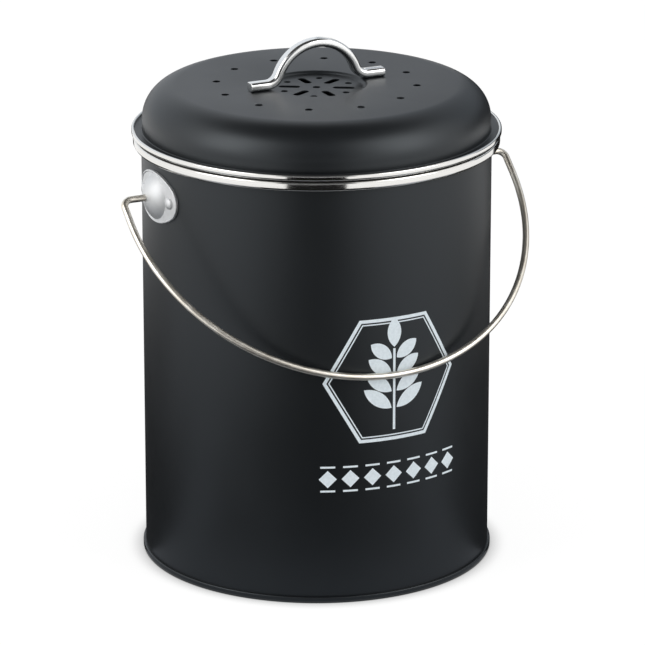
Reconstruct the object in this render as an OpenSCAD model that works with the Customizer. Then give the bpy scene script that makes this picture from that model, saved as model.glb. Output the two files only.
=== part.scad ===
// Kitchen compost caddy: a seamed steel bucket with a rolled rim, two riveted ears and a wire bail,
// and a lift-off lid with vents, a strap handle and a charcoal filter in a push-in tray.
// Millimetres. Z up, origin at the middle of the bucket's foot on the floor, front towards -Y.
// The ears and the lid handle lie along X.

/* [Bucket] */
// Outside diameter of the bucket wall
bucket_d = 180; // [150:1:240]
// Height from the floor to the top of the rim
bucket_h = 223.5; // [150:0.5:320]
// Thickness of the pressed and rolled sheet
sheet_t = 0.6; // [0.4:0.1:0.8]
// How far the folded foot stands out from the wall
foot_proud = 1.4; // [1:0.1:3]
// Height of the folded foot
foot_h = 3.2; // [2.5:0.1:6]
// Height of the top of the base plate above the floor
base_h = 4; // [3:0.1:8]
// Diameter of the stiffening bead pressed in the base plate
base_bead_d = 120; // [60:1:140]
// Width of the lap seam down the back
seam_w = 8; // [5:0.5:14]
// How far the lap seam stands out
seam_proud = 0.3; // [0.2:0.1:0.5]

/* [Rim] */
// How far the rolled rim stands out from the wall
rim_proud = 4.2; // [3:0.1:6]
// Height of the rolled rim outside
rim_h = 4.8; // [4:0.1:8]
// Outside radius of the rim's lower roll
rim_roll_r = 1.6; // [1:0.1:2.4]
// Depth of the rim's leg inside the bucket
rim_leg = 4; // [2:0.1:8]
// Inside radius of the rim's upper edges
rim_edge_r = 0.3; // [0.2:0.05:0.8]

/* [Ears] */
// Distance from the top of the rim down to the bail's pivot
ear_drop = 22.8; // [20.5:0.1:60]
// Width of the oval ear plate
ear_w = 43; // [41:0.5:60]
// Height of the oval ear plate
ear_h = 26.4; // [26:0.1:32]
// Radius of the oval's two ends
ear_end_r = 10; // [8:0.5:12]
// Thickness of the ear plate and its dome
ear_t = 1; // [0.8:0.1:1.5]
// Diameter of the ear's dome
dome_d = 23.4; // [20:0.2:24]
// Height of the dome over the ear plate
dome_h = 5.6; // [5:0.1:8]
// Distance between the two rivets of an ear
rivet_pitch = 30.6; // [30:0.2:34]
// Diameter of a rivet's head
rivet_head_d = 6; // [4:0.1:6.5]
// Height of a rivet's head
rivet_head_h = 1.8; // [1:0.1:2.5]
// Diameter of a rivet's shank
rivet_d = 3; // [2:0.1:3.6]

/* [Bail] */
// Diameter of the wire
wire_d = 3.5; // [2.5:0.1:4.5]
// Space between the bucket wall and the wire at the sides
bail_gap = 17; // [16:0.25:30]
// Straight leg from the pivot to the bow
bail_leg = 13.6; // [9:0.1:30]
// Centre-line radius of the two end bends
bail_bend_r = 4.5; // [3:0.1:6]
// Diameter of the flattened head that keeps the wire in its ear
wire_head_d = 6.4; // [5.5:0.1:8]
// Thickness of the flattened head
wire_head_t = 1.4; // [1:0.1:2]

/* [Lid] */
// Height of the lid's flat top above its flange
lid_h = 23.2; // [22:0.1:40]
// Radius of the lid's shoulder
shoulder_r = 17.5; // [8:0.5:21]
// How far the lid's side stands in from the bucket wall
lid_inset = 0.5; // [0:0.1:4]
// Radius where the side runs into the flange
lid_foot_r = 1; // [0.6:0.1:1.8]
// How far the bright hem stands out from the bucket wall
hem_proud = 5; // [4.6:0.1:7]
// Height of the hem
hem_h = 3; // [2.4:0.1:4]
// Width of the hem, seen from above
hem_w = 1.6; // [1.4:0.1:2]
// Thickness of the seal between the rim and the lid
seal_t = 1.5; // [1.2:0.1:3]
// How far the hem hides the seal's outer edge
seal_inset = 2; // [1.8:0.1:3]
// Depth of the skirt inside the bucket, measured from the flange
skirt_h = 14; // [10:0.5:25]
// Space between the skirt and the rim's inner leg
skirt_gap = 1.6; // [0.5:0.1:3]

/* [Vents and grille] */
// Number of vents in the outer ring
vent_n = 12; // [6:1:24]
// Diameter of a vent
vent_d = 4; // [2:0.1:6]
// Diameter of the ring of vents
vent_ring_d = 103; // [96:1:120]
// Diameter of the recess at the lid's top
recess_d = 53; // [46:0.5:54]
// Depth of the recess
recess_depth = 2; // [1.5:0.1:3]
// Width of the recess's sloping side
recess_side = 3.4; // [2.5:0.1:4]
// Number of slots, and of small holes between them
slot_n = 6; // [4:1:6]
// Width of a slot
slot_w = 4; // [2.5:0.1:4.4]
// Overall length of a slot
slot_l = 11.2; // [8:0.1:12]
// Distance from the centre to the middle of a slot
slot_r = 14; // [13.4:0.1:14.4]
// Diameter of the small holes between the slots
small_hole_d = 3.6; // [2:0.1:4]
// Distance from the centre to a small hole
small_hole_r = 18.2; // [17:0.1:18.6]
// Diameter of the hole in the middle
middle_hole_d = 4; // [2:0.1:6]

/* [Lid handle] */
// Length over the two feet
handle_l = 75.6; // [75:0.2:84]
// Width of the strap
handle_w = 6.6; // [6.2:0.1:16]
// Thickness of the strap
handle_t = 4.7; // [4.2:0.1:6]
// Height of the handle above the lid
handle_h = 24.1; // [23.1:0.1:33.1]
// Radius under the arch
arch_r = 20.8; // [18:0.1:21.2]
// Radius on top where the arch turns into a foot
arch_foot_r = 4.9; // [3:0.1:5.5]
// Radius of the strap's long edges
handle_edge_r = 1.9; // [0.6:0.1:1.9]
// Distance of each screw from the end of its foot
screw_inset = 5; // [4:0.1:6]
// Thread diameter of the handle screws
screw_d = 3; // [2.5:0.5:3.5]
// Depth of the thread in the foot
screw_depth = 3; // [2:0.1:3.3]
// Diameter of the screw heads
screw_head_d = 6; // [5.4:0.1:7]
// Height of the screw heads
screw_head_h = 2; // [1.4:0.1:3]
// Diameter of the washers
washer_d = 7.6; // [7.2:0.1:9]
// Thickness of the washers
washer_t = 0.8; // [0.5:0.1:1.2]

/* [Filter] */
// Thickness of the charcoal pad
pad_t = 7; // [4:0.5:8]
// Thickness of the tray's floor and wall
tray_t = 1.6; // [1.2:0.1:2.5]
// Height of the tray's wall
tray_h = 8; // [6:0.5:9]
// Diameter of the holes in the tray's floor
tray_hole_d = 10; // [5:0.5:12]
// Number of rings of holes in the tray's floor
tray_rings = 4; // [2:1:5]

/* [Hidden] */
// clearances
fit_gap = 0.05;          // between sheets folded or riveted together
pin_gap = 0.1;           // round the bail wire in its ear
thread_gap = 0.05;       // round a screw in its thread
hole_gap = 0.3;          // round a screw in the lid
push_gap = 0.1;          // round the tray in the skirt
pad_gap = 0.5;           // round the pad in the tray
rest_gap = 0.3;          // between the hanging bail and the bucket
head_gap = 1.2;          // between the wire's head and the top of its dome
seam_gap = 0.5;          // between the lap seam and the rim or foot
tray_lift = 1;           // the tray sits this far inside the skirt's edge
cut = 1;                 // how far a cutter passes a face

arc_n = 16;              // straight steps in a long arc of a profile
edge_n = 4;              // straight steps in a small rounded edge

// bucket
wall_r = bucket_d / 2;
inner_r = wall_r - sheet_t;
foot_edge_r = 0.6;
fold_t = 0.8;                                   // sheet folded under the wall
fold_in_t = 1;                                  // and inside it
fold_in_r = inner_r - fit_gap - fold_in_t;
fold_edge_r = 0.4;
bead_lift = 1.2;                                // height of the base plate's bead
bead_half_w = 5;
rim_bottom = bucket_h - rim_h;
rim_leg_r = inner_r - fit_gap - sheet_t;        // inner face of the rim's leg
rim_turn_r = rim_edge_r + sheet_t;              // outside radius of the rim's upper edges
wall_top = bucket_h - rim_turn_r;               // the wall ends where the rim's inside starts to turn
seam_angle = seam_w / wall_r * 180 / PI;

// ears and bail
ear_z = bucket_h - ear_drop;
ear_in_r = wall_r + fit_gap;
ear_out_r = ear_in_r + ear_t;
dome_top = ear_out_r + dome_h;
dome_ball_r = (pow(dome_d / 2, 2) + pow(dome_h, 2)) / (2 * dome_h);
dome_ball_x = dome_top - dome_ball_r;
oval_side_r = (pow(ear_w / 2 - ear_end_r, 2) + pow(ear_h / 2, 2) - pow(ear_end_r, 2))
    / (ear_h - 2 * ear_end_r);
rivet_angle = rivet_pitch / 2 / ear_out_r * 180 / PI;
rivet_tail_d = rivet_d + 1.6;                   // upset tail inside the wall
rivet_tail_h = 0.8;
rivet_tail_r = sqrt(pow(inner_r, 2) - pow(rivet_tail_d / 2, 2)) - fit_gap;
wire_r = wire_d / 2;
bow_r = wall_r + bail_gap + wire_r;
bail_reach = bail_leg + bow_r;
bail_rest = acos((wall_r + wire_r + rest_gap) / bail_reach);    // bail below the level, at rest
wire_head_x = dome_top - ear_t - wire_head_t - head_gap;

// lid
seal_bottom = bucket_h;
skirt_top = seal_bottom + seal_t + sheet_t;
flange_z = skirt_top + sheet_t;                 // top of the lid's flange
lid_top = flange_z + lid_h;
lid_side_r = wall_r - lid_inset;
hem_out_r = wall_r + hem_proud;
hem_in_r = hem_out_r - hem_w;
hem_edge_r = 0.7;
hem_z = flange_z - sheet_t / 2 - hem_h / 2;     // underside of the hem
flange_r = hem_out_r - hem_w / 2;
skirt_out_r = rim_leg_r - skirt_gap;
skirt_in_r = skirt_out_r - sheet_t;
seal_out_r = hem_out_r - seal_inset;
skirt_bottom = flange_z - skirt_h;
recess_edge_r = (pow(recess_side, 2) + pow(recess_depth, 2)) / (4 * recess_depth);
recess_turn = 2 * atan(recess_depth / recess_side);
recess_floor = lid_top - recess_depth;

// lid handle
foot_mid_z = lid_top + handle_t / 2;
arch_mid_r = arch_r + handle_t / 2;
arch_z = lid_top + handle_h - handle_t / 2 - arch_mid_r;
turn_r = arch_foot_r + handle_t / 2;
turn_z = foot_mid_z + turn_r;
turn_x = sqrt(pow(arch_mid_r + turn_r, 2) - pow(turn_z - arch_z, 2));
turn_angle = atan2(turn_z - arch_z, turn_x);
arch_step = (180 - 2 * turn_angle) / (arc_n + 2);      // the arch starts one step past each turn
screw_x = handle_l / 2 - screw_inset;
washer_z = lid_top - sheet_t - washer_t;

// filter
tray_out_r = skirt_in_r - push_gap;
tray_z = skirt_bottom + tray_lift;
pad_r = tray_out_r - tray_t - pad_gap;

$fn = 96;

// Points along an arc, from angle a to angle b; first = 1 leaves out the point that it shares
// with the arc before it
function arc(x, y, r, a, b, n, first = 0) =
    [for (i = [first : n]) [x + r * cos(a + (b - a) * i / n), y + r * sin(a + (b - a) * i / n)]];

function reversed(points) = [for (i = [len(points) - 1 : -1 : 0]) points[i]];

// a tube standing on z
module tube(r_out, r_in, z, h) {
    translate([0, 0, z]) difference() {
        cylinder(r = r_out, h = h);
        translate([0, 0, -cut]) cylinder(r = r_in, h = h + 2 * cut);
    }
}

// turns a shape drawn about Z to lie about X, pointing to +X
module along_x() {
    rotate([0, 90, 0]) children();
}

// ---------------------------------------------------------------- bucket

module bucket_wall() {
    seam_z = foot_h + seam_gap;
    seam_top = rim_bottom - seam_gap;
    color("#26282b") difference() {
        union() {
            tube(wall_r, inner_r, fold_t, wall_top - fold_t);
            rotate([0, 0, 90 - seam_angle / 2]) rotate_extrude(angle = seam_angle)
                translate([wall_r - sheet_t / 2, seam_z])
                    square([sheet_t / 2 + seam_proud, seam_top - seam_z]);
        }
        for (ear = [0, 180], side = [-1, 1]) rotate([0, 0, ear + side * rivet_angle])
            translate([inner_r - cut, 0, ear_z]) along_x() cylinder(d = rivet_d, h = sheet_t + 2 * cut);
    }
}

// Outer line of the rolled rim, moved inwards by t
function rim_line(t) = concat(
    [[wall_r + fit_gap, rim_bottom + t]],
    arc(wall_r + fit_gap + rim_proud - rim_roll_r, rim_bottom + rim_roll_r, rim_roll_r - t, -90, 0, edge_n),
    arc(wall_r + fit_gap + rim_proud - rim_turn_r, bucket_h - rim_turn_r, rim_turn_r - t, 0, 90, edge_n),
    arc(rim_leg_r + rim_turn_r, bucket_h - rim_turn_r, rim_turn_r - t, 90, 180, edge_n),
    [[rim_leg_r + t, bucket_h - rim_leg]]
);

module rim_ring() {
    color("#d9dadb") rotate_extrude() polygon(concat(rim_line(0), reversed(rim_line(sheet_t))));
}

// The base plate and the fold that closes it round the wall's lower edge
module base_pan() {
    out_r = wall_r + foot_proud;
    bead_r = base_bead_d / 2;
    under = base_h - sheet_t;
    color("#222426") rotate_extrude() polygon(concat(
        [
            [0, under],
            [bead_r - bead_half_w, under],
            [bead_r - bead_half_w + bead_lift, under + bead_lift],
            [bead_r + bead_half_w - bead_lift, under + bead_lift],
            [bead_r + bead_half_w, under],
            [fold_in_r, under],
        ],
        arc(fold_in_r + fold_edge_r, fold_edge_r, fold_edge_r, 180, 270, edge_n),
        arc(out_r - foot_edge_r, foot_edge_r, foot_edge_r, 270, 360, edge_n),
        arc(out_r - foot_edge_r, foot_h - foot_edge_r, foot_edge_r, 0, 90, edge_n),
        [
            [wall_r + fit_gap, foot_h],
            [wall_r + fit_gap, fold_t],
            [inner_r - fit_gap, fold_t],
            [inner_r - fit_gap, base_h],
            [bead_r + bead_half_w, base_h],
            [bead_r + bead_half_w - bead_lift, base_h + bead_lift],
            [bead_r - bead_half_w + bead_lift, base_h + bead_lift],
            [bead_r - bead_half_w, base_h],
            [0, base_h],
        ]
    ));
}

// ---------------------------------------------------------------- ears

// Oval of four arcs: two ends, and two flatter sides that run into them
module ear_outline() {
    end_x = ear_w / 2 - ear_end_r;
    side_y = oval_side_r - ear_h / 2;
    side_a = atan2(side_y, end_x);
    polygon(concat(
        arc(end_x, 0, ear_end_r, -side_a, side_a, arc_n, 1),
        arc(0, -side_y, oval_side_r, side_a, 180 - side_a, arc_n, 1),
        arc(-end_x, 0, ear_end_r, 180 - side_a, 180 + side_a, arc_n, 1),
        arc(0, side_y, oval_side_r, 180 + side_a, 360 - side_a, arc_n, 1)
    ));
}

// The pressed ear of the +X side: a plate bent to the wall, with a hollow dome round the wire's head
module ear() {
    color("#cfd2d4") difference() {
        union() {
            intersection() {
                tube(ear_out_r, ear_in_r, ear_z - ear_h, 2 * ear_h);
                translate([0, 0, ear_z]) rotate([90, 0, 90]) linear_extrude(height = dome_top) ear_outline();
            }
            difference() {
                translate([dome_ball_x, 0, ear_z]) sphere(r = dome_ball_r);
                translate([0, 0, ear_z - ear_h]) cylinder(r = ear_in_r, h = 2 * ear_h);
            }
        }
        translate([dome_ball_x, 0, ear_z]) sphere(r = dome_ball_r - ear_t);
        translate([wall_r, 0, ear_z]) along_x() cylinder(r = wire_r + pin_gap, h = dome_h + 2 * ear_t + cut);
        for (side = [-1, 1]) rotate([0, 0, side * rivet_angle])
            translate([wall_r - cut, 0, ear_z]) along_x() cylinder(d = rivet_d, h = ear_t + 2 * cut);
    }
}

// A rivet through ear and wall, on the +X side, turned away from the ear's middle by angle
module rivet(angle) {
    head_ball_r = (pow(rivet_head_d / 2, 2) + pow(rivet_head_h, 2)) / (2 * rivet_head_h);
    head_a = asin(rivet_head_d / 2 / head_ball_r);
    color("#d7d9da") rotate([0, 0, angle]) translate([0, 0, ear_z]) along_x() rotate_extrude() polygon(concat(
        [
            [0, rivet_tail_r - rivet_tail_h],
            [rivet_tail_d / 2, rivet_tail_r - rivet_tail_h],
            [rivet_tail_d / 2, rivet_tail_r],
            [rivet_d / 2 - fit_gap, rivet_tail_r],
            [rivet_d / 2 - fit_gap, ear_out_r],
        ],
        arc(0, ear_out_r + rivet_head_h - head_ball_r, head_ball_r, 90 - head_a, 90, arc_n)
    ));
}

// ---------------------------------------------------------------- bail

// Half of the bail, on the +X side, hanging straight down from its pivot at the origin
module bail_half() {
    rotate([-90, 0, 0]) rotate_extrude(angle = 90) translate([bow_r, 0]) circle(r = wire_r);
    translate([bow_r, 0, 0]) cylinder(r = wire_r, h = bail_leg - bail_bend_r);
    translate([bow_r - bail_bend_r, 0, bail_leg - bail_bend_r]) rotate([90, 0, 0])
        rotate_extrude(angle = 90) translate([bail_bend_r, 0]) circle(r = wire_r);
    translate([wire_head_x, 0, bail_leg]) along_x()
        cylinder(r = wire_r, h = bow_r - bail_bend_r - wire_head_x);
    translate([wire_head_x, 0, bail_leg]) along_x() cylinder(d = wire_head_d, h = wire_head_t);
}

module bail() {
    color("#b9b09c") translate([0, 0, ear_z]) rotate([bail_rest - 90, 0, 0])
        translate([0, 0, -bail_leg]) union() {
            bail_half();
            mirror([1, 0, 0]) bail_half();
        }
}

// ---------------------------------------------------------------- lid

// Upper line of the lid from its middle to its edge, moved down or inwards by t
function lid_line(t) = concat(
    [[0, recess_floor - t]],
    arc(recess_d / 2 - recess_side, recess_floor + recess_edge_r, recess_edge_r + t,
        -90, recess_turn - 90, edge_n),
    arc(recess_d / 2, lid_top - recess_edge_r, recess_edge_r - t, 90 + recess_turn, 90, edge_n, 1),
    arc(lid_side_r - shoulder_r, lid_top - shoulder_r, shoulder_r - t, 90, 0, arc_n),
    arc(lid_side_r + lid_foot_r, flange_z + lid_foot_r, lid_foot_r + t, 180, 270, edge_n),
    [[flange_r, flange_z - t]]
);

// A slot along X, standing on z = 0, with round ends
module slot_cutter(h) {
    straight = slot_l - slot_w;
    for (side = [-1, 1]) translate([side * straight / 2, 0, 0]) cylinder(d = slot_w, h = h);
    translate([-straight / 2, -slot_w / 2, 0]) cube([straight, slot_w, h]);
}

module lid_cutters() {
    deep = recess_depth + 3 * cut;
    translate([0, 0, lid_top - deep]) {
        for (i = [0 : vent_n - 1]) rotate([0, 0, i * 360 / vent_n])
            translate([vent_ring_d / 2, 0, 0]) cylinder(d = vent_d, h = deep + cut);
        for (i = [0 : slot_n - 1]) rotate([0, 0, (i + 0.5) * 360 / slot_n])
            translate([slot_r, 0, 0]) slot_cutter(deep);
        for (i = [0 : slot_n - 1]) rotate([0, 0, i * 360 / slot_n])
            translate([small_hole_r, 0, 0]) cylinder(d = small_hole_d, h = deep);
        cylinder(d = middle_hole_d, h = deep);
        for (side = [-1, 1]) translate([side * screw_x, 0, 0])
            cylinder(d = screw_d + hole_gap, h = deep + cut);
    }
}

module lid_shell() {
    color("#2a2c2f") difference() {
        rotate_extrude() polygon(concat(lid_line(0), reversed(lid_line(sheet_t))));
        lid_cutters();
    }
}

// Bright bead closed round the edge of the flange
module lid_hem() {
    top = hem_z + hem_h;
    color("#dcdddd") rotate_extrude() polygon(concat(
        arc(hem_out_r - hem_edge_r, hem_z + hem_edge_r, hem_edge_r, 270, 360, edge_n),
        arc(hem_out_r - hem_edge_r, top - hem_edge_r, hem_edge_r, 0, 90, edge_n),
        arc(hem_in_r + hem_edge_r, top - hem_edge_r, hem_edge_r, 90, 180, edge_n),
        [
            [hem_in_r, flange_z],
            [flange_r, flange_z],
            [flange_r, flange_z - sheet_t],
            [hem_in_r, flange_z - sheet_t],
        ],
        arc(hem_in_r + hem_edge_r, hem_z + hem_edge_r, hem_edge_r, 180, 270, edge_n)
    ));
}

// Soft ring stretched round the skirt, under the flange
module lid_seal() {
    lip = 1.4;
    color("#141414") rotate_extrude() polygon([
        [skirt_out_r + fit_gap, seal_bottom + seal_t],
        [skirt_out_r + fit_gap, seal_bottom],
        [seal_out_r - lip / 2, seal_bottom],
        [seal_out_r, seal_bottom + lip / 2],
        [seal_out_r, seal_bottom + seal_t],
    ]);
}

// Ring with a flange, welded under the lid's flange; it finds the bucket's mouth
module lid_skirt() {
    curl = 0.8;
    color("#3a3c3f") rotate_extrude() polygon([
        [skirt_in_r, skirt_top],
        [skirt_in_r, skirt_bottom + curl],
        [skirt_in_r + curl / 2, skirt_bottom],
        [skirt_out_r, skirt_bottom],
        [skirt_out_r, skirt_top - sheet_t],
        [seal_out_r, skirt_top - sheet_t],
        [seal_out_r, skirt_top],
    ]);
}

// ---------------------------------------------------------------- lid handle

// Section of the strap: across its thickness, then across its width, with rounded edges
function strap_line() =
    let (half_t = handle_t / 2 - handle_edge_r, half_w = handle_w / 2 - handle_edge_r)
    concat(
        arc(half_t, half_w, handle_edge_r, 0, 90, edge_n),
        arc(-half_t, half_w, handle_edge_r, 90, 180, edge_n),
        arc(-half_t, -half_w, handle_edge_r, 180, 270, edge_n),
        arc(half_t, -half_w, handle_edge_r, 270, 360, edge_n)
    );

// One bend of the strap: the middle line's x and z, and the angle that its upper face looks to
function strap_bend(x, z, r, a, b, turn, n) = [
    for (i = [0:n]) let (at = a + (b - a) * i / n)
        [x + r * cos(at), z + r * sin(at), at + turn]
];

// The strap from foot to foot: a turn up, the arch, and a turn down
function strap_path() = concat(
    [[-handle_l / 2, foot_mid_z, 90]],
    strap_bend(-turn_x, turn_z, turn_r, 270, 360 - turn_angle, -180, edge_n * 2),
    strap_bend(0, arch_z, arch_mid_r, 180 - turn_angle - arch_step, turn_angle + arch_step, 0, arc_n),
    strap_bend(turn_x, turn_z, turn_r, 180 + turn_angle, 270, -180, edge_n * 2),
    [[handle_l / 2, foot_mid_z, 90]]
);

module lid_handle() {
    line = strap_line();
    path = strap_path();
    n = len(line);
    last = len(path) - 1;
    points = [for (p = path) for (q = line) [p[0] + q[0] * cos(p[2]), q[1], p[1] + q[0] * sin(p[2])]];
    sides = [for (i = [0:last - 1]) for (j = [0:n - 1]) let (k = (j + 1) % n)
        [i * n + j, i * n + k, (i + 1) * n + k, (i + 1) * n + j]];
    ends = [[for (j = [0:n - 1]) n - 1 - j], [for (j = [0:n - 1]) last * n + j]];
    color("#d4d6d8") difference() {
        polyhedron(points, concat(sides, ends), convexity = 4);
        for (side = [-1, 1]) translate([side * screw_x, 0, lid_top - cut])
            cylinder(d = screw_d, h = screw_depth + cut + thread_gap);
    }
}

// Pan-head screw from inside the lid up into a foot; side is -1 or 1
module handle_screw(side) {
    head_top = washer_z;
    head_bottom = washer_z - screw_head_h;
    tip = 0.4;
    head_edge = 0.9;
    cross_w = 0.8;
    shank_r = screw_d / 2 - thread_gap;
    color("#c4c6c8") translate([side * screw_x, 0, 0]) difference() {
        rotate_extrude() polygon([
            [0, head_bottom],
            [screw_head_d / 2 - head_edge, head_bottom],
            [screw_head_d / 2, head_bottom + head_edge],
            [screw_head_d / 2, head_top],
            [shank_r, head_top],
            [shank_r, lid_top + screw_depth - tip],
            [shank_r - tip, lid_top + screw_depth],
            [0, lid_top + screw_depth],
        ]);
        for (turn = [0, 90]) rotate([0, 0, turn])
            translate([-screw_d / 2, -cross_w / 2, head_bottom - cut])
                cube([screw_d, cross_w, cut + screw_head_h / 2]);
    }
}

module handle_washer(side) {
    color("#b9bbbd") translate([side * screw_x, 0, 0])
        tube(washer_d / 2, (screw_d + hole_gap) / 2, washer_z, washer_t);
}

// ---------------------------------------------------------------- filter

module charcoal_filter() {
    color("#1c1c1c") translate([0, 0, tray_z + tray_t]) cylinder(r = pad_r, h = pad_t);
}

// Push-in tray with rings of holes
module filter_tray() {
    web = 3;
    ring_step = (pad_r - tray_hole_d / 2 - web) / tray_rings;
    color("#2f3133") difference() {
        translate([0, 0, tray_z]) cylinder(r = tray_out_r, h = tray_h);
        translate([0, 0, tray_z + tray_t]) cylinder(r = tray_out_r - tray_t, h = tray_h);
        translate([0, 0, tray_z - cut]) {
            cylinder(d = tray_hole_d, h = tray_t + 2 * cut);
            for (ring = [1 : tray_rings], i = [0 : 6 * ring - 1])
                rotate([0, 0, i * 60 / ring]) translate([ring * ring_step, 0, 0])
                    cylinder(d = tray_hole_d, h = tray_t + 2 * cut);
        }
    }
}

bucket_wall();
rim_ring();
base_pan();
mirror([1, 0, 0]) ear();  // ear_left
ear();  // ear_right
mirror([1, 0, 0]) rivet(-rivet_angle);  // ear_rivet_left_front
mirror([1, 0, 0]) rivet(rivet_angle);  // ear_rivet_left_rear
rivet(-rivet_angle);  // ear_rivet_right_front
rivet(rivet_angle);  // ear_rivet_right_rear
bail();
lid_shell();
lid_hem();
lid_seal();
lid_skirt();
lid_handle();
handle_screw(-1);  // handle_screw_left
handle_screw(1);  // handle_screw_right
handle_washer(-1);  // handle_washer_left
handle_washer(1);  // handle_washer_right
charcoal_filter();
filter_tray();
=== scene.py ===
import math

import bmesh
import bpy
from mathutils import Matrix, Vector


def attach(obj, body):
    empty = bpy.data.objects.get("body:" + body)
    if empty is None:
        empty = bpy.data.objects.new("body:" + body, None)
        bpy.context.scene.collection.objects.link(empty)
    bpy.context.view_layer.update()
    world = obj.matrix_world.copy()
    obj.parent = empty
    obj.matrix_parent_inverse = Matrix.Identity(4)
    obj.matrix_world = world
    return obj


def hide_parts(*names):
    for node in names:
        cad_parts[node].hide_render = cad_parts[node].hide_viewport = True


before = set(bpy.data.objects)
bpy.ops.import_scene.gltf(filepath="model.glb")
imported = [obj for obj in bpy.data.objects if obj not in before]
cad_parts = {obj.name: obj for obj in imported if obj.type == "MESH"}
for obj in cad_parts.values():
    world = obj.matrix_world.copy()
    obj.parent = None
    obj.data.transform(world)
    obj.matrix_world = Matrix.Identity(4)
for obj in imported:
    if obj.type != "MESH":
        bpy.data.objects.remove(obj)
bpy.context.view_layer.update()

scene = bpy.context.scene
scene.view_settings.view_transform = "Standard"

# Sizes in millimetres, as in the CAD: radii from the bucket's axis, heights from the floor
MM = 0.001
SHEET = 0.6
FIT = 0.05
WALL_R = 90.0
WALL_IN = WALL_R - SHEET
WALL_FOOT, WALL_TOP = 0.8, 222.85
BEAD_TOP = 3.2
RIM_TOP = 223.5
RIM_FOOT = RIM_TOP - 4.8
LID_TOP = 249.4
FLANGE_Z = 226.2
FLANGE_UNDER = FLANGE_Z - SHEET
SKIRT_FLANGE_Z = FLANGE_UNDER - SHEET
SCREW_X = 32.8

# The ears, the wire that turns in them, and its lean where it rests on the front of the wall
EAR_Z = 200.7
EAR_T = 1.0
PLATE_R = WALL_R + FIT + EAR_T
WIRE_R = 1.75
BOW_R, LEG = 108.75, 13.6
REST_GAP = 0.3
BAIL_REST = math.degrees(math.acos((WALL_R + REST_GAP + WIRE_R) / (BOW_R + LEG)))

LATHE_STEPS = 288
SHARP_ANGLE = 35
ORIGIN, ALONG_X, ALONG_Y, UP = (0, 0, 0), (1, 0, 0), (0, 1, 0), (0, 0, 1)


# ------------------------------------------------------------------ shaping

def whole(bm):
    """All of a shape's parts."""
    return bm.verts[:] + bm.edges[:] + bm.faces[:]


def verts_in(geometry):
    """The vertices among what an operator gives back."""
    return [g for g in geometry if isinstance(g, bmesh.types.BMVert)]


def edges_in(geometry):
    """The edges among what an operator gives back."""
    return [g for g in geometry if isinstance(g, bmesh.types.BMEdge)]


def round_off(bm, verts, rounding, segments):
    """Rounds corners of a flat outline by a radius in millimetres."""
    bmesh.ops.bevel(
        bm, geom=verts, offset=rounding * MM, offset_type="OFFSET", affect="VERTICES",
        segments=segments, profile=0.5, material=-1, clamp_overlap=True)


def outline(corners):
    """A closed outline in the XZ plane from (radius, height, rounding) corners, in millimetres."""
    bm = bmesh.new()
    verts = [bm.verts.new((r * MM, 0, z * MM)) for r, z, _ in corners]
    bm.faces.new(verts)
    for vert, (_, _, rounding) in zip(verts, corners):
        if rounding:
            round_off(bm, [vert], rounding, 24 if rounding > 5 else 8)
    return bm


def sweep(bm, geometry, centre, axis, angle, steps):
    """Carries geometry round an axis by an angle in degrees and returns what lies at its end."""
    return bmesh.ops.spin(
        bm, geom=geometry, cent=centre, axis=axis, dvec=(0, 0, 0), angle=math.radians(angle),
        steps=steps, use_merge=False, use_duplicate=False)["geom_last"]


def spin_full(bm, axis, steps):
    """Spins all edges once round an axis through the origin and joins the ends."""
    bmesh.ops.spin(
        bm, geom=bm.verts[:] + bm.edges[:], cent=ORIGIN, axis=axis, dvec=(0, 0, 0),
        angle=2 * math.pi, steps=steps, use_merge=True, use_duplicate=False)
    bmesh.ops.remove_doubles(bm, verts=bm.verts[:], dist=1e-6)


def turn_on_lathe(corners, steps=LATHE_STEPS):
    """Spins an outline about Z. An edge on the axis is dropped and its ends close as poles."""
    bm = outline(corners)
    bmesh.ops.delete(bm, geom=bm.faces[:], context="FACES_ONLY")
    on_axis = [e for e in bm.edges if all(abs(v.co.x) < 1e-7 for v in e.verts)]
    bmesh.ops.delete(bm, geom=on_axis, context="EDGES")
    spin_full(bm, UP, steps)
    bmesh.ops.recalc_face_normals(bm, faces=bm.faces[:])
    return bm


def around(angle, r=0.0):
    """The place at a radius in millimetres and an angle in degrees about Z."""
    return Matrix.Rotation(math.radians(angle), 4, "Z") @ Matrix.Translation((r * MM, 0, 0))


def ring_verts(ring):
    """The corners of a ring of edges, each once and always in the same order."""
    return list(dict.fromkeys(v for e in ring for v in e.verts))


def bend_on(bm, ring, centre, axis, angle, steps):
    """Carries a ring of edges round a bend and returns the ring at its end."""
    return edges_in(sweep(bm, ring_verts(ring) + ring, centre, axis, angle, steps))


def run_on(bm, ring, step):
    """Carries a ring of edges straight on and returns the ring at its end."""
    out = bmesh.ops.extrude_edge_only(bm, edges=ring)["geom"]
    verts = verts_in(out)
    bmesh.ops.translate(bm, verts=verts, vec=step)
    ends = set(verts)
    return [e for e in edges_in(out) if all(v in ends for v in e.verts)]


def end_bar(bm, ring, tapers, height):
    """Ends a bar along X with short steps, each scaled about its centre height, and a flat face."""
    for grow, step in tapers:
        ring = run_on(bm, ring, (step * MM, 0, 0))
        bmesh.ops.scale(
            bm, verts=ring_verts(ring), vec=(1, grow, grow),
            space=Matrix.Translation((0, 0, -height * MM)))
    bmesh.ops.contextual_create(bm, geom=ring)


def take_in(bm, other):
    """Adds another shape to this one and lets go of it."""
    mesh = new_mesh("taken_in", other)
    bm.from_mesh(mesh)
    bpy.data.meshes.remove(mesh)


def mirror_whole(bm):
    """Adds the other half across X and joins it on."""
    bmesh.ops.mirror(bm, geom=whole(bm), axis="X", merge_dist=1e-6)
    bmesh.ops.remove_doubles(bm, verts=bm.verts[:], dist=1e-6)
    bmesh.ops.recalc_face_normals(bm, faces=bm.faces[:])


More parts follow.
